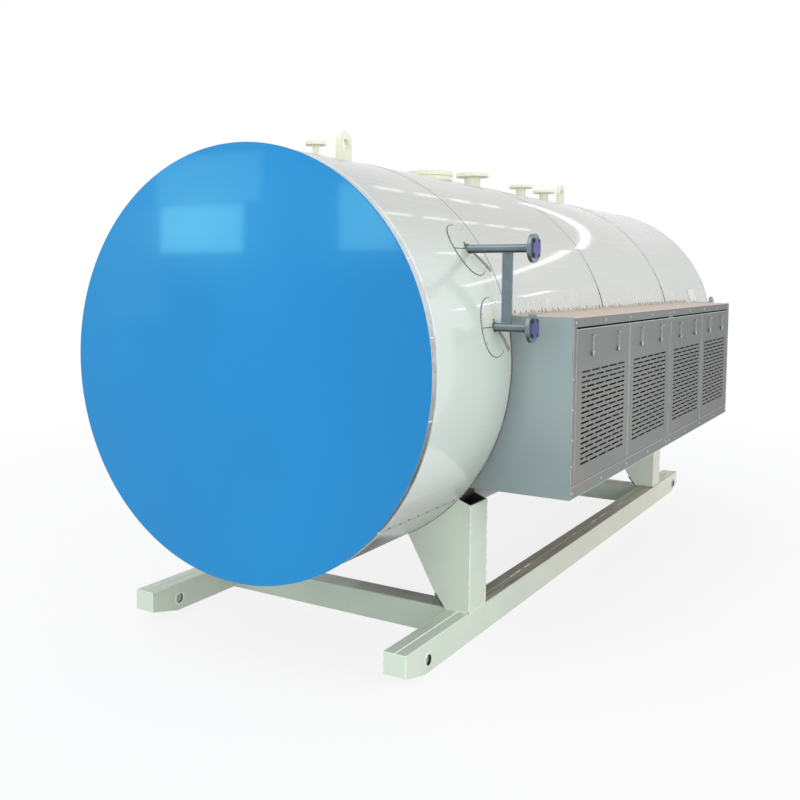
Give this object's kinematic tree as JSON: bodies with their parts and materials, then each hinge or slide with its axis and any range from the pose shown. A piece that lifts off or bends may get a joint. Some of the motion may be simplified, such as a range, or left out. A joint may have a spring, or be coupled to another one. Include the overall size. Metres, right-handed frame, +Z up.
{
  "type": "industrial boiler",
  "caption": "Horizontal clad steam boiler drum on a two-rail steel skid, with a vented cabinet along one side, top nozzles and lifting lugs.",
  "frame": {"origin": "on the floor under the middle of the whole object's footprint", "axes": "+Z up, +Y along the drum from its front cover to its rear, +X towards the cabinet's side"},
  "size_m": [2.5053, 5.65, 2.761],
  "materials": {
    "drum_cladding": "thin bright sheet, slightly dented",
    "shell_steel": "matt primer",
    "cover_blue": "gloss",
    "rim_steel": "satin",
    "skid_paint": "semi-matt",
    "fitting_primer": "matt",
    "gauge_grey": "satin",
    "cap_plastic": "matt",
    "cabinet_paint": "semi-gloss",
    "latch_steel": "bright"
  },
  "bodies": {
    "root": {"cabinet_door_1": "cabinet_paint", "cabinet_door_2": "cabinet_paint", "cabinet_door_3": "cabinet_paint", "cabinet_door_4": "cabinet_paint", "cabinet_floor": "cabinet_paint", "cabinet_front_panel": "cabinet_paint", "cabinet_header": "cabinet_paint", "cabinet_posts": "cabinet_paint", "cabinet_rear_panel": "cabinet_paint", "cabinet_sill": "cabinet_paint", "cabinet_top_plate": "cabinet_paint", "cladding_course_1": "drum_cladding", "cladding_course_2": "drum_cladding", "cladding_course_3": "drum_cladding", "cladding_course_4": "drum_cladding", "cladding_patch_lower": "drum_cladding", "cladding_patch_upper": "drum_cladding", "cross_member_front": "skid_paint", "cross_member_rear": "skid_paint", "door_latches": "latch_steel", "flange_cap_lower": "cap_plastic", "flange_cap_upper": "cap_plastic", "front_end_cover": "cover_blue", "front_rim_ring": "rim_steel", "gauge_brace": "gauge_grey", "gauge_pipe_lower": "gauge_grey", "gauge_pipe_upper": "gauge_grey", "inspection_cover": "fitting_primer", "inspection_neck": "fitting_primer", "lifting_lug_front": "fitting_primer", "lifting_lug_rear": "fitting_primer", "pressure_shell": "shell_steel", "rear_end_cover": "cover_blue", "rear_rim_ring": "rim_steel", "relief_nozzle_front": "fitting_primer", "relief_nozzle_rear": "fitting_primer", "saddle_leg_front_left": "skid_paint", "saddle_leg_front_right": "skid_paint", "saddle_leg_rear_left": "skid_paint", "saddle_leg_rear_right": "skid_paint", "side_nozzle_rear": "gauge_grey", "skid_rail_left": "skid_paint", "skid_rail_right": "skid_paint", "steam_nozzle": "fitting_primer", "vent_nozzle": "fitting_primer"}
  },
  "joints": []
}
